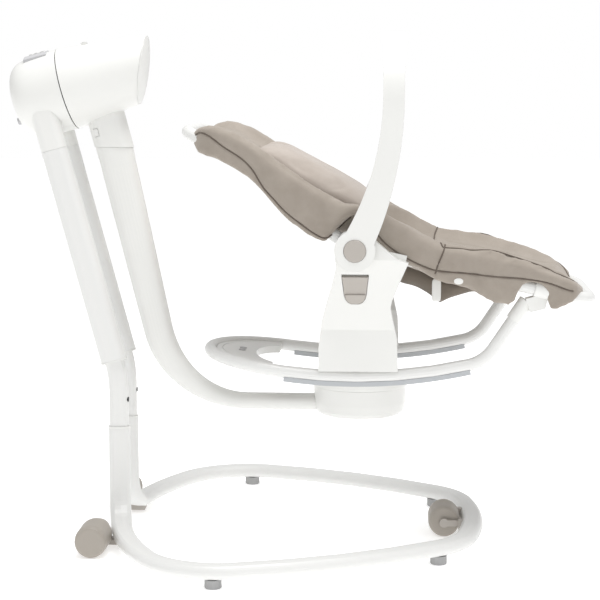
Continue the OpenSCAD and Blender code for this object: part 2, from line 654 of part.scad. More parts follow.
// frame on the leaning outer face: X along X, Y up the face, Z outward
module on_face() {
    translate([hub_x, foot_y + (448 - crease_z) * tan(lean), 448]) rotate([90 - lean, 0, 0]) mirror([0, 0, 1])
        children();
}
module pillar_left() { color(c_white) pillar_side(); }
module pillar_right() { color(c_white) mirror([0, 1, 0]) pillar_side(); }
latch_pts = [[-21.4, 22], [21.4, 22], [19, 4], [18, -8], [16, -16], [12, -22], [7, -25], [-7, -25],
    [-12, -22], [-16, -16], [-18, -8], [-19, 4]];
module latch_side() {
    on_face() {
        translate([0, 0, -7.8]) linear_extrude(8.2) polygon(latch_pts);
        translate([0, 0, 0.4]) linear_extrude(2.6) polygon([[-16.4, -8], [16.4, -8], [14.6, -15.4],
            [10.8, -20.8], [6, -23.6], [-6, -23.6], [-10.8, -20.8], [-14.6, -15.4]]);
    }
}
module recline_latch_left() { color(c_grey) latch_side(); }
module recline_latch_right() { color(c_grey) mirror([0, 1, 0]) latch_side(); }
module hub_pins() {
    color(c_steel) both() rod_y(hub_x, hub_z, 5, hub_y - 44.5, hub_y + 4.5);
}

// ---- foot half of the seat ----
bar_r = 60;
fc = cos(foot_a);
fs = sin(foot_a);
foot_path = walk([[foot_len - bar_r - 60.4], [[-fs, 0, -fc], bar_r, 90, 9], [frame_y - bar_r]],
    [[[hub_x + 60.4 * fc, frame_y, hub_z - 60.4 * fs], [fc, 0, -fs], [0, 1, 0], [fs, 0, fc]]]);
module foot_frame() {
    color(c_white) sweep(whole(foot_path), 2 * rail_r, 2 * rail_r, tube_wall, 16);
}
// room under a pad for the side run of a frame tube; up is 1 where the path's thin axis points up, else -1
module rail_room(st, up) {
    run = [for (q = st) if (q[0][1] > frame_y - 0.1) q];
    top = [for (q = run) q[0] + up * (rail_r + 0.8) * q[3]];
    both() plate(concat([for (p = top) [p[0], p[2]]],
        [for (i = [len(top) - 1 : -1 : 0]) [top[i][0], top[i][2] - 100]]),
        frame_y - rail_r - 0.8, frame_y + rail_r + 1);
}
function hp(p) = [for (q = p) [q[0], q[1] + hub_z - 514]];
foot_pts = hp([[104, 505], [103, 540], [97, 598], [154, 574], [192, 558], [236, 541], [286, 526], [349, 509],
    [412, 489], [455, 470], [472, 456], [474, 438], [464, 427], [400, 432], [345, 446], [228, 470],
    [187, 482],
    [150, 496]]);
foot_side = [[90, 134], [106, 168], [200, 170], [374, 170], [380, 132], [406, 130], [428, 122], [446, 108],
    [458, 90], [464, 62]];
// clear of the top of the pillars, which the side panels sit over
pillar_room = hp([[80, 400], [80, 566], [122, 554], [142, 540], [188, 512], [196, 501], [196, 400]]);
module foot_pad() {
    color(c_fabric) difference() {
        intersection() {
            plate(foot_pts, -172, 172);
            linear_extrude(900) polygon(concat(foot_side, [for (i = [len(foot_side) - 1 : -1 : 0])
                [foot_side[i][0], -foot_side[i][1]]]));
        }
        plate(hp([[90, 700], [110, 540], [150, 518], [240, 498], [350, 480], [420, 462], [430, 520],
            [430, 700]]), -104, 104);
        rail_room(foot_path, 1);
        both() plate(pillar_room, 133, 180);
    }
}
module foot_skirt() {
    color(c_fabric) plate(hp([[150, 495], [112, 478], [112, 455], [168, 446], [222, 426], [241, 408],
        [262, 418], [298, 434], [330, 424], [362, 424], [374, 436], [345, 445.5], [228, 469.5],
        [187, 481.5]]), -120, 120);
}
module skirt_tabs() {
    color(c_white) both() {
        translate([225, 120.2, hub_z - 92]) cube([15, 1.6, 38]);
        rod_y(262, hub_z - 66, 5, 120.2, 123);
        translate([340, 120.2, hub_z - 84]) cube([13, 1.6, 7]);
    }
}

// ---- back half of the seat, carried on the hub pins ----
b1 = 30.5;
b2 = 50.5;
b3 = 22;
br = 110;
head_l = 88.4;
head_bar_r = 75;
back_path = walk([[90], [[0, 1, 0], br, b2 - b1, 4], [54], [[0, -1, 0], br, b2 - b3, 5],
    [head_l - head_bar_r], [[sin(b3), 0, cos(b3)], head_bar_r, 90, 9], [frame_y - head_bar_r]],
    [[[hub_x - 18 * cos(b1), frame_y, hub_z + 18 * sin(b1)], [-cos(b1), 0, sin(b1)], [0, 1, 0],
        [-sin(b1), 0, -cos(b1)]]]);
module back_frame() {
    color(c_white) sweep(whole(back_path), 2 * rail_r, 2 * rail_r, tube_wall, 16);
}
module back_hinges() {
    color(c_dark) both() difference() {
        union() {
            rod_y(hub_x, hub_z, 17, frame_y - 2, hub_y - 32.6);
            translate([hub_x, frame_y, hub_z]) rotate([0, b1 - 90, 0]) translate([0, 0, 10])
                cylinder(r = rail_r - tube_wall - 0.3, h = 30);
        }
        rod_y(hub_x, hub_z, 5 + run_gap, 100, 260);
    }
}
back_low = hp([[60, 523], [7, 553], [-22, 577], [-46, 603], [-70, 634], [-100, 653], [-150, 674],
    [-180, 688]]);
back_top = hp([[-186, 700], [-172, 711], [-122, 706], [-63, 683], [-10, 658], [22, 627], [72, 552]]);
back_side = [[80, 134], [60, 134], [48, 170], [-84, 168], [-90, 134], [-114, 130], [-134, 122],
    [-147, 108], [-153, 88], [-155, 62]];
module back_pad() {
    color(c_fabric) difference() {
        intersection() {
            plate(concat(back_low, back_top), -172, 172);
            linear_extrude(950) polygon(concat(back_side, [for (i = [len(back_side) - 1 : -1 : 0])
                [back_side[i][0], -back_side[i][1]]]));
        }
        plate(hp([[90, 540], [16, 578], [-22, 606], [-62, 650], [-110, 677], [-110, 760], [90, 760]]),
            -108, 108);
        rail_room(back_path, -1);
    }
}
module body_insert() {
    color(c_fabric) plate(hp([[60, 562], [16, 579], [-22, 607], [-62, 651], [-96, 671], [-70, 690],
        [-10, 668], [20, 644]]), -106, 106);
}

// ---- toy arch ----
arch_in = hub_y + 0.6;
function arch_cx(z) = z > arch_z - 102 ? 161
    : 161 - (500 - sqrt(250000 - pow(arch_z - 102 - z, 2))) * pow(346 / (arch_z - hub_z), 2);
function arch_hw(z) = z > arch_z - 102 ? 17 : 17 + 12 * pow((arch_z - 102 - z) / (arch_z - 102 - hub_z), 2);
arch_zs = [for (i = [0 : 24]) hub_z + (arch_z + 2 - hub_z) * i / 24];
module toy_arch() {
    color(c_white) difference() {
        union() {
            intersection() {
                plate(concat([for (z = arch_zs) [arch_cx(z) - arch_hw(z), z]],
                    [for (i = [24 : -1 : 0]) [arch_cx(arch_zs[i]) + arch_hw(arch_zs[i]), arch_zs[i]]]),
                    -260, 260);
                rotate([90, 0, 90]) linear_extrude(400) difference() {
                    arch2d(arch_in + 12.6, arch_z, 112);
                    arch2d(arch_in, arch_z - 12.6, 99.4);
                }
            }
            both() rod_y(hub_x, hub_z, 33, arch_in, arch_in + 12.6);
        }
        both() rod_y(hub_x, hub_z, 5 + run_gap, 100, arch_in + 6);
        both() rod_y(hub_x, hub_z, 18.4, arch_in + 5.4, 300);
    }
}
module arch2d(w, top, r) {
    translate([-w, hub_z - 60]) square([2 * w, top - r - hub_z + 60]);
    translate([-w + r, top - r - 1]) square([2 * (w - r), r + 1]);
    for (s = [-1, 1]) translate([s * (w - r), top - r]) circle(r = r);
}
module arch_button() {
    translate([hub_x, arch_in + 15, hub_z]) rotate([90, 0, 0]) {
        cylinder(r1 = 16.6, r2 = 18, h = 1.6);
        translate([0, 0, 1.6]) cylinder(r = 18, h = 4.4);
    }
}
module arch_button_left() { color(c_grey) arch_button(); }
module arch_button_right() { color(c_grey) mirror([0, 1, 0]) arch_button(); }

base_tube();
floor_feet();
leg_collars();
leg_tube_left();
leg_tube_right();
leg_sleeve_left();
leg_sleeve_right();
sleeve_rings();
snap_pin_left();
snap_pin_right();
rear_bracket_left();
rear_bracket_right();
front_bracket();
roller_axles();
rear_roller_left();
rear_roller_right();
front_roller();
rear_housing();
bearing_bulkhead();
control_panel();
key_power();
key_speed();
key_timer();
power_inlet();
drive_motor();
drive_roller();
swing_bell();
bell_face();
swing_shaft();
lock_slider();
arm_release();
swing_arm();
cup_shell();
turntable();
seat_bridge();
runner_loop();
runner_pads();
front_connectors();
sooth_panel();
sooth_key_a();
sooth_key_b();
pillar_left();
pillar_right();
hub_pins();
recline_latch_left();
recline_latch_right();
foot_frame();
foot_pad();
foot_skirt();
skirt_tabs();
back_frame();
back_hinges();
back_pad();
body_insert();
toy_arch();
arch_button_left();
arch_button_right();
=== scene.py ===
import json
import math

import bmesh
import bpy
import numpy as np
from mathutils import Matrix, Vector
from mathutils.bvhtree import BVHTree


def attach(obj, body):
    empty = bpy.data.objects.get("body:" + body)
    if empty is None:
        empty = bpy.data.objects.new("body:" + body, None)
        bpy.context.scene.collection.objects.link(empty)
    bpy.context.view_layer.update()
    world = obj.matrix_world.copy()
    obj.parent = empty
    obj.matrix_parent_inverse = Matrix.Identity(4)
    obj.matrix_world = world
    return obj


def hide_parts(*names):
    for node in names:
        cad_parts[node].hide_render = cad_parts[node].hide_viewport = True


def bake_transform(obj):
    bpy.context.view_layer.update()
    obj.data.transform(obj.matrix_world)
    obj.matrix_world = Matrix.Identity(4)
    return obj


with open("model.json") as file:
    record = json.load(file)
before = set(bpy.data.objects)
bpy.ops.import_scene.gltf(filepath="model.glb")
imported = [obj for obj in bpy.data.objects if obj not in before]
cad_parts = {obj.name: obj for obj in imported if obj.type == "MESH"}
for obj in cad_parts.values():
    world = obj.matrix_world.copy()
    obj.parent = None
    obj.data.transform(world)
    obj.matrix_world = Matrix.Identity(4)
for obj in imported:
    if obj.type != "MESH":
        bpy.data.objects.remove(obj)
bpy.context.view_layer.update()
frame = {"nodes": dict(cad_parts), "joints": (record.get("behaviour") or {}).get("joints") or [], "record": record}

mm = 0.001
scene = bpy.context.scene
hub = next(Vector(j["pos_m"]) for j in frame["joints"] if j["name"] == "recline")


def hexColor(code):
    # sRGB hex to the linear colour the shader wants
    parts = [int(code[i:i + 2], 16) / 255 for i in (1, 3, 5)]
    return [c / 12.92 if c < 0.04045 else ((c + 0.055) / 1.055) ** 2.4 for c in parts] + [1.0]


def addNode(tree, kind, settings=None, **links):
    # one shader node with its settings, and its inputs given as sockets or plain values
    node = tree.nodes.new(kind)
    for key, value in (settings or {}).items():
        setattr(node, key, value)
    for key, value in links.items():
        numbered = key[0] == "i" and key[1:].isdigit()
        socket = node.inputs[int(key[1:]) if numbered else key.replace("_", " ")]
        if isinstance(value, bpy.types.NodeSocket):
            tree.links.new(value, socket)
        else:
            socket.default_value = value
    return node


def spline(points, count, closed=False):
    # Catmull-Rom through rows of points, evenly in parameter; works on any trailing shape
    p = np.asarray(points, float)
    n = len(p)
    t = np.linspace(0, n if closed else n - 1, count, endpoint=not closed)
    i = np.minimum(t.astype(int), n - 1 if closed else n - 2)
    f = (t - i).reshape((-1,) + (1,) * (p.ndim - 1))

    def pick(k):
        return p[k % n] if closed else p[np.clip(k, 0, n - 1)]
    a, b, c, d = pick(i - 1), pick(i), pick(i + 1), pick(i + 2)
    square, cube = 2 * a - 5 * b + 4 * c - d, 3 * b - a - 3 * c + d
    return 0.5 * (2 * b + (c - a) * f + square * f ** 2 + cube * f ** 3)


def profile(x, points, soft=5.0):
    # straight runs between the given points, then rounded by a moving average of half width soft
    xs, vs = zip(*points)
    offsets = np.linspace(-soft, soft, 9)
    return np.mean([np.interp(x + o, xs, vs) for o in offsets], axis=0)


def gridFaces(rows, cols, closeRows=False, closeCols=True):
    down = np.arange(rows if closeRows else rows - 1)
    across = np.arange(cols if closeCols else cols - 1)
    i, j = np.meshgrid(down, across, indexing="ij")
    a = i * cols + j
    b = i * cols + (j + 1) % cols
    c = ((i + 1) % rows) * cols + (j + 1) % cols
    d = ((i + 1) % rows) * cols + j
    return np.stack([a, b, c, d], -1).reshape(-1, 4)


def makeObject(name, verts, faces, caps=(), smooth=True):
    mesh = bpy.data.meshes.new(name)
    loops = [list(map(int, face)) for group in (faces, caps) for face in group]
    mesh.from_pydata(np.asarray(verts).reshape(-1, 3).tolist(), [], loops)
    mesh.validate()
    tidy = bmesh.new()
    tidy.from_mesh(mesh)
    bmesh.ops.recalc_face_normals(tidy, faces=tidy.faces)
    tidy.to_mesh(mesh)
    tidy.free()
    mesh.polygons.foreach_set("use_smooth", [smooth] * len(mesh.polygons))
    obj = bpy.data.objects.new(name, mesh)
    scene.collection.objects.link(obj)
    return obj


def closedGrid(name, grid, smooth=True):
    # rows of closed rings, with both end rings filled
    rows, cols = grid.shape[:2]
    last = np.arange(cols) + (rows - 1) * cols
    return makeObject(name, grid, gridFaces(rows, cols), [np.arange(cols)[::-1], last], smooth)


def sweepTube(path, radius, sides=10, flat=1.0, closed=False):
    # a round or flattened section carried along a path, its frame kept level with the world where it can
    p = np.asarray(path, float)
    t = np.roll(p, -1, 0) - np.roll(p, 1, 0) if closed else np.gradient(p, axis=0)
    t /= np.linalg.norm(t, axis=1, keepdims=True) + 1e-12
    up = np.where(np.abs(t[:, 2:3]) > 0.94, [[1.0, 0, 0]], [[0, 0, 1.0]])
    side = np.cross(t, up)
    side /= np.linalg.norm(side, axis=1, keepdims=True)
    top = np.cross(side, t)
    a = np.linspace(0, 2 * math.pi, sides, endpoint=False)
    wide, high = np.cos(a)[None, :, None], flat * np.sin(a)[None, :, None]
    return p[:, None] + radius * (wide * side[:, None] + high * top[:, None])


def coords(mesh):
    co = np.empty(len(mesh.vertices) * 3, np.float32)
    mesh.vertices.foreach_get("co", co)
    return co.reshape(-1, 3).astype(float)


def normals(mesh):
    no = np.empty(len(mesh.vertices) * 3, np.float32)
    mesh.vertex_normals.foreach_get("vector", no)
    return no.reshape(-1, 3).astype(float)


def setCoords(mesh, co):
    mesh.vertices.foreach_set("co", co.astype(np.float32).ravel())
    mesh.update()


def bake(obj):
    # replaces the object's mesh by what its modifiers make of it
    dg = bpy.context.evaluated_depsgraph_get()
    mesh = bpy.data.meshes.new_from_object(obj.evaluated_get(dg))
    old = obj.data
    obj.modifiers.clear()
    obj.data = mesh
    bpy.data.meshes.remove(old)
    mesh.polygons.foreach_set("use_smooth", [True] * len(mesh.polygons))


def modifier(obj, kind, **settings):
    made = obj.modifiers.new(kind.lower(), kind)
    for key, value in settings.items():
        setattr(made, key, value)
    return made


clothSpec = {"quality": 5, "mass": 0.3, "tension_stiffness": 18, "compression_stiffness": 18,
             "shear_stiffness": 6, "bending_stiffness": 0.6}
clothFrames = 20


def inflate(obj, cap, pressure=4.0, voxel=6.0, relax=6):
    # remeshed evenly, swollen by cloth pressure with no gravity, and held to a largest move of cap mm
    modifier(obj, "REMESH", mode="VOXEL", voxel_size=voxel * mm)
    modifier(obj, "SMOOTH", factor=0.5, iterations=relax)
    bake(obj)
    rest = coords(obj.data)
    cloth = modifier(obj, "CLOTH")
    for key, value in clothSpec.items():
        setattr(cloth.settings, key, value)
    cloth.settings.use_pressure = True
    cloth.settings.uniform_pressure_force = pressure
    cloth.settings.effector_weights.gravity = 0
    cloth.point_cache.frame_start = 1
    cloth.point_cache.frame_end = clothFrames
    for f in range(1, clothFrames + 1):
        scene.frame_set(f)
    bake(obj)
    scene.frame_set(1)
    move = coords(obj.data) - rest
    length = np.linalg.norm(move, axis=1, keepdims=True) + 1e-9
    setCoords(obj.data, rest + move * np.minimum(1, cap * mm / length))
    modifier(obj, "SUBSURF", levels=1, render_levels=1)
    bake(obj)


def surfaceOf(obj):
    mesh = obj.data
    return BVHTree.FromPolygons([v.co for v in mesh.vertices], [tuple(p.vertices) for p in mesh.polygons])


def dropOn(tree, points, toward):
    # each point is cast along toward on to the surface
    found = []
    for p in points:
        hit = tree.ray_cast(Vector(p), Vector(toward))
        if hit[0] is not None:
            found.append((np.array(hit[0]), np.array(hit[1])))
    return found


def pressSeam(obj, paths, width, depth):
    # a groove along each path: the surface goes in by depth times exp(-(distance / width) squared)
    co, no = coords(obj.data), normals(obj.data)
    amount = np.zeros(len(co))
    for path in paths:
        p = spline(path, max(8, int(len(path) * 3)))
        for part in np.array_split(np.arange(len(co)), max(1, len(co) // 20000)):
            d = np.linalg.norm(co[part, None] - p[None], axis=2).min(1)
            amount[part] = np.maximum(amount[part], np.exp(-(d / (width * mm)) ** 2))
    setCoords(obj.data, co - no * (amount * depth * mm)[:, None])


def joinTubes(name, paths, radius, flat=1.0, sides=8):
    verts, faces, start = [], [], 0
    for path in paths:
        grid = sweepTube(path, radius * mm, sides, flat)
        rows = len(grid)
        verts.append(grid.reshape(-1, 3))
        faces += (gridFaces(rows, sides) + start).tolist()
        faces.append((np.arange(sides)[::-1] + start).tolist())
        faces.append((np.arange(sides) + (rows - 1) * sides + start).tolist())
        start += rows * sides
    return makeObject(name, np.concatenate(verts), faces)


def hubPoints(rows, side=0.0):
    # rows of (along, up) in mm from the hub, at a given side
    return [Vector((hub.x + a * mm, side * mm, hub.z + u * mm)) for a, u in rows]


def newMaterial(name):
    material = bpy.data.materials.new(name)
    material.use_nodes = True
    tree = material.node_tree
    tree.nodes.clear()
    shader = addNode(tree, "ShaderNodeBsdfPrincipled")
    addNode(tree, "ShaderNodeOutputMaterial", Surface=shader.outputs[0])
    return material, tree, shader


def linkBump(tree, shader, height, distance, strength=1.0, softEdge=0.0):
    bump = addNode(tree, "ShaderNodeBump", Strength=strength, Distance=distance, Height=height)
    if softEdge:
        edge = addNode(tree, "ShaderNodeBevel", {"samples": 4}, Radius=softEdge)
        tree.links.new(edge.outputs[0], bump.inputs["Normal"])
    tree.links.new(bump.outputs[0], shader.inputs["Normal"])


def mouldedPlastic(name, color, roughness, grain=0.9, relief=0.04, softEdge=0.7, coat=0.0):
    # moulded plastic: a fine spark-eroded grain breaks the gloss, and long soft flow marks vary it
    material, tree, shader = newMaterial(name)
    place = addNode(tree, "ShaderNodeTexCoord").outputs["Object"]
    fine = addNode(tree, "ShaderNodeTexNoise", Vector=place, Scale=1000 / grain, Detail=2.0)
    wide = addNode(tree, "ShaderNodeTexNoise", Vector=place, Scale=9.0, Detail=3.0)
    tone = addNode(tree, "ShaderNodeMapRange", Value=wide.outputs[0], i1=0.3, i2=0.7, i3=0.0, i4=1.0)
    base, light = hexColor(color), [min(1, c * 1.03) for c in hexColor(color)[:3]] + [1]
    mix = addNode(tree, "ShaderNodeMix", {"data_type": "RGBA"}, i0=tone.outputs[0], i6=base, i7=light)
    rough = addNode(tree, "ShaderNodeMapRange", Value=wide.outputs[0], i1=0.3, i2=0.7,
                    i3=roughness - 0.04, i4=roughness + 0.05)
    tree.links.new(mix.outputs[2], shader.inputs["Base Color"])
    tree.links.new(rough.outputs[0], shader.inputs["Roughness"])
    shader.inputs["IOR"].default_value = 1.5
    shader.inputs["Coat Weight"].default_value = coat
    linkBump(tree, shader, fine.outputs[0], relief * mm, 0.35, softEdge * mm)
    return material


def powderCoat(name, color, roughness=0.34):
    # powder-coated steel tube: a satin skin with the faint orange peel of baked powder, 2 mm across
    material, tree, shader = newMaterial(name)
    place = addNode(tree, "ShaderNodeTexCoord").outputs["Object"]
    peel = addNode(tree, "ShaderNodeTexNoise", Vector=place, Scale=500.0, Detail=1.0)
    wide = addNode(tree, "ShaderNodeTexNoise", Vector=place, Scale=14.0, Detail=2.0)
    rough = addNode(tree, "ShaderNodeMapRange", Value=wide.outputs[0], i1=0.3, i2=0.7,
                    i3=roughness - 0.05, i4=roughness + 0.05)
    shader.inputs["Base Color"].default_value = hexColor(color)
    tree.links.new(rough.outputs[0], shader.inputs["Roughness"])
    shader.inputs["IOR"].default_value = 1.52
    shader.inputs["Coat Weight"].default_value = 0.15
    shader.inputs["Coat Roughness"].default_value = 0.12
    linkBump(tree, shader, peel.outputs[0], 0.06 * mm, 0.3, 0.6 * mm)
    return material


def knitFabric(name, dark, lit, spacing=1.6, relief=0.25, sheen=0.35):
    # polyester knit: rows of loops on each face direction, a soft nap that lightens at a glance,
    # and slow blotches where the cloth is brushed; loops are drawn 1.6 mm apart, twice real size, to show
    material, tree, shader = newMaterial(name)
    coord = addNode(tree, "ShaderNodeTexCoord")
    place, facing = coord.outputs["Object"], coord.outputs["Normal"]
    cell = addNode(tree, "ShaderNodeSeparateXYZ", Vector=place)
    turned = addNode(tree, "ShaderNodeSeparateXYZ", Vector=facing)
    k = 2 * math.pi / (spacing * mm)

    def maths(operation, **values):
        return addNode(tree, "ShaderNodeMath", {"operation": operation}, **values).outputs[0]

    def wave(axis, factor):
        return maths("SINE", i0=maths("MULTIPLY_ADD", i0=cell.outputs[axis], i1=k * factor, i2=0.0))

    def loops(a, b):
        return maths("ABSOLUTE", i0=maths("MULTIPLY", i0=wave(a, 1.0), i1=wave(b, 0.8)))

    def weight(axis):
        return maths("POWER", i0=maths("ABSOLUTE", i0=turned.outputs[axis]), i1=3.0)

    total = None
    for axis, (a, b) in enumerate(((1, 2), (0, 2), (0, 1))):
        term = maths("MULTIPLY", i0=loops(a, b), i1=weight(axis))
        total = term if total is None else maths("ADD", i0=total, i1=term)
    nap = addNode(tree, "ShaderNodeTexNoise", Vector=place, Scale=26.0, Detail=4.0, Roughness=0.6)
    fuzz = addNode(tree, "ShaderNodeTexNoise", Vector=place, Scale=900.0, Detail=2.0)
    blotch = addNode(tree, "ShaderNodeMapRange", Value=nap.outputs[0], i1=0.25, i2=0.75, i3=0.0, i4=0.55)
    dots = maths("MULTIPLY_ADD", i0=total, i1=0.35, i2=blotch.outputs[0])
    mix = addNode(tree, "ShaderNodeMix", {"data_type": "RGBA"}, i0=dots, i6=hexColor(dark), i7=hexColor(lit))
    tree.links.new(mix.outputs[2], shader.inputs["Base Color"])
    height = maths("MULTIPLY_ADD", i0=fuzz.outputs[0], i1=0.6, i2=total)
    shader.inputs["Roughness"].default_value = 0.88
    shader.inputs["Specular IOR Level"].default_value = 0.25
    shader.inputs["Sheen Weight"].default_value = sheen
    shader.inputs["Sheen Roughness"].default_value = 0.45
    shader.inputs["Sheen Tint"].default_value = (1.0, 0.96, 0.93, 1)
    linkBump(tree, shader, height, relief * mm, 0.5)
    return material


def turnedSteel(name, color, roughness=0.28):
    # turned steel: fine rings left by the lathe, 0.4 mm apart
    material, tree, shader = newMaterial(name)
    place = addNode(tree, "ShaderNodeTexCoord").outputs["Object"]
    rings = addNode(tree, "ShaderNodeTexNoise", Vector=place, Scale=1600.0, Detail=2.0)
    rough = addNode(tree, "ShaderNodeMapRange", Value=rings.outputs[0], i1=0.2, i2=0.8,
                    i3=roughness - 0.08, i4=roughness + 0.1)
    shader.inputs["Base Color"].default_value = hexColor(color)
    shader.inputs["Metallic"].default_value = 1.0
    tree.links.new(rough.outputs[0], shader.inputs["Roughness"])
    linkBump(tree, shader, rings.outputs[0], 0.02 * mm, 0.3, 0.3 * mm)
    return material


finishes = {
    "whiteAbs": mouldedPlastic("whiteMouldedAbs", "#E2E2DF", 0.3, coat=0.12),
    "smoothAbs": mouldedPlastic("whiteArmMouldedAbs", "#E2E2DF", 0.32, softEdge=0, coat=0.12),
    "whiteCoat": powderCoat("whitePowderCoatedSteel", "#E0E0DE"),
    "greyAbs": mouldedPlastic("greyMouldedAbs", "#B0AAA3", 0.5, relief=0.08),
    "greyPad": mouldedPlastic("greyRubberStrip", "#B4B7BA", 0.6, relief=0.08),
    "panelAbs": mouldedPlastic("coolGreyMouldedAbs", "#BBBBBD", 0.42, relief=0.05),
    "rollerNylon": mouldedPlastic("warmGreyMouldedNylon", "#A39C93", 0.48, relief=0.1, softEdge=1.2),
    "darkNylon": mouldedPlastic("darkMouldedNylon", "#2B2B2D", 0.55, relief=0.08),
    "footRubber": mouldedPlastic("greyFootRubber", "#A2A2A2", 0.7, relief=0.12),
    "knit": knitFabric("taupePolyesterKnit", "#92897F", "#AAA197"),
    # insert fabric: a lighter brushed knit, its colour raised further as painted light falling on the insert's top
    "nap": knitFabric("taupeBrushedKnitPaintedTopLight", "#A59B92", "#BAB1A9", relief=0.18, sheen=0.45),
    # under cover: a darker underside fabric, its colour darkened further as painted shade on the downward-facing
    # cloth
    "under": knitFabric("taupeUnderMeshAndPaintedShade", "#6A6258", "#7C7369", spacing=2.2, relief=0.4, sheen=0.15),
    "piping": knitFabric("taupePipingKnit", "#60574F", "#6E655C", spacing=1.2, relief=0.15, sheen=0.1),
    "steel": turnedSteel("turnedSteel", "#B4B6B8"),
}
bySlot = {
    "white_plastic": "whiteAbs", "white_steel": "whiteCoat",
    "grey_plastic": "greyAbs", "dark_plastic": "darkNylon",
    "seat_fabric": "knit", "insert_fabric": "nap", "steel": "steel", "foot_rubber": "footRubber",
}
byNode = {
    "swing_arm": "smoothAbs", "runner_pads": "greyPad", "arm_release": "whiteAbs",
    "power_inlet": "panelAbs", "control_panel": "panelAbs",
    "sooth_key_a": "panelAbs", "sooth_key_b": "panelAbs",
    "rear_roller_left": "rollerNylon", "rear_roller_right": "rollerNylon", "front_roller": "rollerNylon",
}


def setFinish(obj, finish):
    obj.data.materials.clear()
    obj.data.materials.append(finishes[finish])


for row in frame["record"]["subparts"]:
    node = row["node"]
    setFinish(frame["nodes"][node], byNode.get(node, bySlot[row["material_slot"]]))
print("finishes on", len(frame["nodes"]), "frame parts")


def padSection(half, low, edge, seam, crest, inner, floor, under):
    # one side of a seat pad's cross-section for every station, from the middle of the underside round
    # to the middle of the top, then mirrored; all in mm, as (across, up)
    wall = crest - seam
    side = [(0 * half, under), (0.62 * half, under), (edge - 14, low + 3), (edge, low), (half - 3, seam - 1),
            (half, seam + 0.3 * wall), (half - 1, seam + 0.7 * wall), (half - 7, crest - 1),
            (half - 20, crest - 1), (0.35 * half + 0.65 * inner, 0.35 * crest + 0.65 * floor), (inner, floor),
            (0.5 * inner, floor - 5), (0 * half, floor - 7)]
    right = np.stack([np.stack(np.broadcast_arrays(a, b), -1) for a, b in side])
    left = right[-2:0:-1] * [-1, 1]
    return np.concatenate([right, left])


def padGrid(x, section, around=6):
    ring = spline(section, len(section) * around, closed=True)      # around, station, (across, up)
    grid = np.empty((len(x), len(ring), 3))
    grid[..., 0] = hub.x + x[:, None] * mm
    grid[..., 1] = ring[..., 0].T * mm
    grid[..., 2] = hub.z + ring[..., 1].T * mm
    return grid


footPadSpec = {
    "ends": (8, 377),
    "half": [(8, 170), (300, 171), (338, 170), (352, 167), (361, 161), (368, 150), (373, 136), (377, 120)],
    "low": [(8, 40), (20, 28), (35, 8), (52, -6), (72, -19), (100, -34), (134, -50), (179, -61),
            (225, -82), (252, -86),
            (263, -80), (272, -54), (303, -56), (311, -66), (318, -98), (336, -93), (356, -84), (377, -80)],
    "seam": [(9, 49), (20, 43), (35, 25), (52, 11), (87, -13), (127, -30), (177, -36), (239, -42),
             (276, -45),
             (311, -51), (336, -60), (356, -68), (377, -72)],
    "crest": [(9, 77), (20, 74), (52, 60), (87, 39), (108, 24), (127, 13), (144, 5), (177, 2), (223, -5),
              (257, -14),
              (288, -23), (311, -31), (336, -39), (356, -47), (368, -54), (377, -62)],
    "floor": [(9, 30), (50, 4), (140, -16), (250, -34), (320, -52), (345, -52), (374, -68)],
    "under": [(9, 8), (50, -13), (90, -32), (250, -62), (320, -80), (345, -80), (374, -76)],
}
headPadSpec = {
    "ends": (-273, 12),
    "half": [(-273, 128), (-268, 142), (-259, 153), (-246, 163), (-230, 170), (-212, 174), (-190, 174),
             (-110, 173), (12, 172)],
    "low": [(-273, 170), (-262, 158), (-247, 152), (-230, 148), (-200, 132), (-173, 115), (-150, 93),
            (-134, 75),
            (-112, 52), (-78, 27), (-49, 9), (-36, 20), (-20, 36), (-4, 50), (12, 58)],
    "seam": [(-272, 180), (-253, 186), (-236, 180), (-214, 164), (-186, 146), (-167, 130), (-150, 105),
             (-134, 87),
             (-112, 64), (-78, 38), (-47, 20), (-36, 30), (-20, 45), (-4, 57), (12, 64)],
    "crest": [(-273, 188), (-262, 197), (-247, 201), (-230, 199), (-200, 188), (-167, 168), (-134, 145),
              (-112, 129),
              (-78, 104), (-45, 86), (-18, 78), (-4, 76), (12, 73)],
    "floor": [(-273, 184), (-240, 186), (-210, 170), (-162, 138), (-122, 94), (-84, 66), (-10, 28),
              (12, 24)],
    "under": [(-273, 176), (-230, 152), (-170, 118), (-122, 74), (-78, 40), (-40, 22), (12, 4)],
}


def makePad(name, spec, finish, cap):
    x = np.arange(spec["ends"][0], spec["ends"][1] + 1, 3.0)
    row = {k: profile(x, spec[k]) for k in ("half", "low", "seam", "crest", "floor", "under")}
    inner = np.minimum(104, row["half"] - 40)
    edge = row["half"] - np.clip((row["seam"] - row["low"]) * 0.12, 2, 9)
    section = padSection(row["half"], row["low"], edge, row["seam"], row["crest"], inner,
                         row["floor"], row["under"])
    pad = closedGrid(name, padGrid(x, section))
    inflate(pad, cap)
    setFinish(pad, finish)
    return pad


def sideSeam(tree, rows, out=230):
    # the same line on both sides, cast inwards on to the pad
    found = []
    for side in (-1, 1):
        line = np.array([list(p) for p in hubPoints(rows, side * out)])
        dense = spline(line, max(10, int(np.linalg.norm(np.diff(line, axis=0), axis=1).sum() / (4 * mm))))
        found.append(dropOn(tree, dense, (0, -side, 0)))
    return [f for f in found if len(f) > 3]


def topSeam(tree, rows):
    # a line of (along, across) laid on the top of the pad on both sides
    found = []
    for side in (-1, 1):
        line = np.array([(hub.x + a * mm, side * b * mm, 1.2) for a, b in rows])
        dense = spline(line, max(10, int(np.linalg.norm(np.diff(line, axis=0), axis=1).sum() / (4 * mm))))
        found.append(dropOn(tree, dense, (0, 0, -1)))
    return [f for f in found if len(f) > 3]


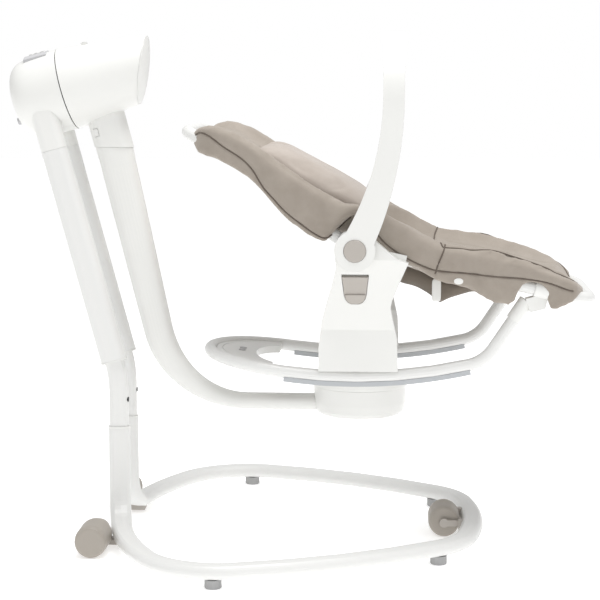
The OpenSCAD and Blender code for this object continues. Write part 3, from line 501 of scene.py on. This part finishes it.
def sewPad(pad, sideLines, topLines, sidePipes, topPipes, groove=(2.6, 1.5), pipe=1.3):
    # seams are pressed in, and the piped ones then get a thin cord lying half in the groove
    tree = surfaceOf(pad)
    seams = [s for rows in sideLines + sidePipes for s in sideSeam(tree, rows)]
    seams += [s for rows in topLines + topPipes for s in topSeam(tree, rows)]
    pressSeam(pad, [[p for p, n in s] for s in seams], *groove)
    tree = surfaceOf(pad)
    found = [s for rows in sidePipes for s in sideSeam(tree, rows)]
    found += [s for rows in topPipes for s in topSeam(tree, rows)]
    paths = [np.array([p + n * 0.3 * mm for p, n in s]) for s in found]
    for k, path in enumerate(paths):
        paths[k] = spline(path[::3] if len(path) > 12 else path, len(path))
    piping = joinTubes(pad.name + "Piping", paths, pipe)
    setFinish(piping, "piping")
    return piping


footPad = makePad("footPad", footPadSpec, "knit", 5)
headPad = makePad("headPad", headPadSpec, "knit", 5)
print("pads", len(footPad.data.vertices), len(headPad.data.vertices))

footPiping = sewPad(
    footPad,
    sideLines=[],
    topLines=[[(250, 100), (262, 60), (262, 0)], [(300, 98), (312, 60), (312, 0)], [(200, 100), (212, 60),
               (212, 0)],
              [(155, 108), (355, 96)]],
    sidePipes=[[(145, 6), (142, -4), (134, -24), (129, -40)],
               [(30, 30), (52, 6), (87, -17), (127, -34), (177, -39), (239, -45), (276, -48), (311, -54),
                (336, -63), (354, -68)]],
    topPipes=[[(141, 156), (180, 153), (300, 152), (335, 150), (352, 142), (361, 126), (366, 100),
               (368, 60), (368, 0)],
              [(141, 156), (136, 138), (132, 116), (131, 60), (131, 0)]])
headPiping = sewPad(
    headPad,
    sideLines=[],
    topLines=[[(-176, 104), (-182, 60), (-182, 0)]],
    sidePipes=[[(-262, 182), (-253, 186), (-236, 180), (-214, 164), (-186, 146), (-167, 127), (-150, 99),
                (-134, 81),
                (-112, 58), (-78, 32), (-52, 17), (-37, 24), (-20, 40), (-4, 54)]],
    topPipes=[])


insertSpec = {
    "ends": (-172, 34),
    "half": [(-172, 70), (-168, 84), (-160, 96), (-146, 104), (-130, 107), (0, 106), (20, 100), (34, 86)],
    "top": [(-172, 152), (-167, 161), (-158, 164), (-140, 162), (-120, 155), (-100, 144), (-42, 114),
            (8, 85), (24, 68), (34, 46)],
    "bottom": [(-172, 142), (-160, 134), (-122, 96), (-84, 68), (-10, 32), (34, 8)],
}


def makeInsert(spec):
    # a crowned cushion: each cross-section is a flattened oval with square shoulders
    x = np.arange(spec["ends"][0], spec["ends"][1] + 1, 3.0)
    half, top, bottom = (profile(x, spec[k]) for k in ("half", "top", "bottom"))
    a = np.linspace(0, 2 * math.pi, 72, endpoint=False)
    c, s = np.sign(np.cos(a)) * np.abs(np.cos(a)) ** 0.55, np.sign(np.sin(a)) * np.abs(np.sin(a)) ** 0.75
    grid = np.empty((len(x), len(a), 3))
    grid[..., 0] = hub.x + x[:, None] * mm
    grid[..., 1] = half[:, None] * c * mm
    grid[..., 2] = hub.z + ((top + bottom)[:, None] / 2 + (top - bottom)[:, None] / 2 * s) * mm
    cushion = closedGrid("insertCushion", grid)
    inflate(cushion, 6)
    setFinish(cushion, "nap")
    return cushion


insertCushion = makeInsert(insertSpec)
print("insert", len(insertCushion.data.vertices))


# small white parts on the cover: a strap end and an oval press stud on each side
tabSpec = {"strap": (132.5, -73, 7.5, 18.5), "stud": (167, -52, 7.5, 5.0)}


def makeTab(name, tree, spec, thick=1.8):
    # a rounded plate laid on the side of the cover: rows shrink towards the rim by a quarter circle
    along, up, a, b = spec
    parts = []
    for side in (-1, 1):
        start = Vector((hub.x + along * mm, side * 0.3, hub.z + up * mm))
        hit = tree.ray_cast(start, Vector((0, -side, 0)))
        if hit[0] is None:
            continue
        t = np.linspace(0, 2 * math.pi, 32, endpoint=False)
        power = 0.35 if b > a else 0.9
        x = np.sign(np.cos(t)) * np.abs(np.cos(t)) ** power * a
        z = np.sign(np.sin(t)) * np.abs(np.sin(t)) ** power * b
        rings = []
        rounding = ((1.0, -2.5), (1.0, 0.45 * thick), (0.95, 0.8 * thick), (0.82, thick), (0.4, thick * 1.05))
        for shrink, lift in rounding:
            ring = np.stack([x * shrink, np.full_like(x, side * lift), z * shrink], -1) * mm
            rings.append(ring + np.array(hit[0]))
        parts.append(np.array(rings))
    cols = parts[0].shape[1]
    faces, caps, verts, start = [], [], [], 0
    for grid in parts:
        verts.append(grid.reshape(-1, 3))
        faces += (gridFaces(len(grid), cols) + start).tolist()
        caps += [np.arange(cols)[::-1] + start, np.arange(cols) + (len(grid) - 1) * cols + start]
        start += grid.shape[0] * cols
    tab = makeObject(name, np.concatenate(verts), faces, caps)
    setFinish(tab, "whiteAbs")
    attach(tab, "rocker")
    return tab


for piece, node, fill in ((footPad, "foot_pad", 0.6), (headPad, "back_pad", 0.6),
                          (insertCushion, "body_insert", 0.7)):
    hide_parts(node)
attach(footPad, "rocker")
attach(footPiping, "rocker")
for piece in (headPad, headPiping, insertCushion):
    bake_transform(piece)


underSpec = {
    "ends": (62, 268),
    "half": [(62, 112), (268, 118)],
    "top": [(62, -28), (88, -32), (128, -46), (250, -72), (268, -76)],
    "bottom": [(62, -58), (72, -61), (100, -68), (122, -80), (141, -97), (150, -88), (194, -73),
               (225, -80), (256, -84), (268, -78)],
}


def makeUnder(spec):
    # the loose cover below the seat: a shallow bag whose sides hang in shallow folds
    x = np.arange(spec["ends"][0], spec["ends"][1] + 1, 3.0)
    half, top, bottom = (profile(x, spec[k], 3.0) for k in ("half", "top", "bottom"))
    a = np.linspace(0, 2 * math.pi, 96, endpoint=False)
    c, s = np.sign(np.cos(a)) * np.abs(np.cos(a)) ** 0.3, np.sign(np.sin(a)) * np.abs(np.sin(a)) ** 0.5
    fold = 1.6 * np.sin(x / 9.0)[:, None] * np.abs(c) + 1.0 * np.sin(x / 4.3 + 1)[:, None] * np.clip(-s, 0, 1)
    grid = np.empty((len(x), len(a), 3))
    grid[..., 0] = hub.x + x[:, None] * mm
    grid[..., 1] = (half[:, None] * c + fold * np.sign(c)) * mm
    grid[..., 2] = hub.z + ((top + bottom)[:, None] / 2 + (top - bottom)[:, None] / 2 * s) * mm
    bag = closedGrid("underCover", grid)
    inflate(bag, 3, pressure=2.0)
    setFinish(bag, "under")
    return bag


underCover = makeUnder(underSpec)
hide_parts("foot_skirt")
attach(underCover, "rocker")
print("under cover", len(underCover.data.vertices))
underTree, footTree = surfaceOf(underCover), surfaceOf(footPad)
strapEnd = makeTab("strapEnd", underTree, tabSpec["strap"])
pressStud = makeTab("pressStud", footTree, tabSpec["stud"])
for piece in (strapEnd, pressStud):
    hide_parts("skirt_tabs")


studioSpec = {
    "floor": 14.0, "world": 0.66, "glow": 0.44, "aim": (0, 0, 0.4),
    "lights": (("keyLight", 62.0, (0.3, -0.2, 3.0), 1.8), ("fillLight", 6.0, (1.6, -2.6, 2.2), 2.0)),
}
cameraSpec = {"place": (0.1779, -2.9050, 0.785), "tilt": 7.374, "turn": 3.505, "lens": 102, "sensor": 36}


def makeStudio(spec):
    size = spec["floor"]
    corners = [(-size, -size, 0), (size, -size, 0), (size, size, 0), (-size, size, 0)]
    floor = makeObject("studioFloor", corners, [(0, 1, 2, 3)], smooth=False)
    material, tree, shader = newMaterial("matPaintedFloor")
    shader.inputs["Base Color"].default_value = hexColor("#F7F7F7")
    shader.inputs["Roughness"].default_value = 0.9
    shader.inputs["Emission Color"].default_value = (1, 1, 1, 1)
    shader.inputs["Emission Strength"].default_value = spec["glow"]
    floor.data.materials.append(material)
    world = bpy.data.worlds.new("studioWorld")
    world.use_nodes = True
    tree = world.node_tree
    back = tree.nodes["Background"]
    back.inputs[0].default_value = (1, 1, 1, 1)
    seen = addNode(tree, "ShaderNodeLightPath").outputs["Is Camera Ray"]
    strength = addNode(tree, "ShaderNodeMapRange", Value=seen, i1=0.0, i2=1.0, i3=spec["world"], i4=1.0)
    tree.links.new(strength.outputs[0], back.inputs[1])
    scene.world = world
    for name, power, place, width in spec["lights"]:
        lamp = bpy.data.lights.new(name, "AREA")
        lamp.energy = power
        lamp.size = width
        light = bpy.data.objects.new(name, lamp)
        light.location = place
        aim = Vector(spec["aim"]) - Vector(place)
        light.rotation_euler = aim.to_track_quat("-Z", "Y").to_euler()
        scene.collection.objects.link(light)


def makeCamera(spec):
    # a long lens, square to the swing's side but a little from the foot end and above
    data = bpy.data.cameras.new("camera")
    data.lens, data.sensor_width = spec["lens"], spec["sensor"]
    camera = bpy.data.objects.new("camera", data)
    tilt, turn = math.radians(spec["tilt"]), math.radians(spec["turn"])
    back = Vector((math.sin(turn) * math.cos(tilt), -math.cos(turn) * math.cos(tilt), math.sin(tilt)))
    camera.location = spec["place"]
    camera.rotation_euler = back.to_track_quat("Z", "Y").to_euler()
    data.clip_end = 60
    scene.collection.objects.link(camera)
    scene.camera = camera


makeStudio(studioSpec)
makeCamera(cameraSpec)
scene.view_settings.view_transform = "Standard"
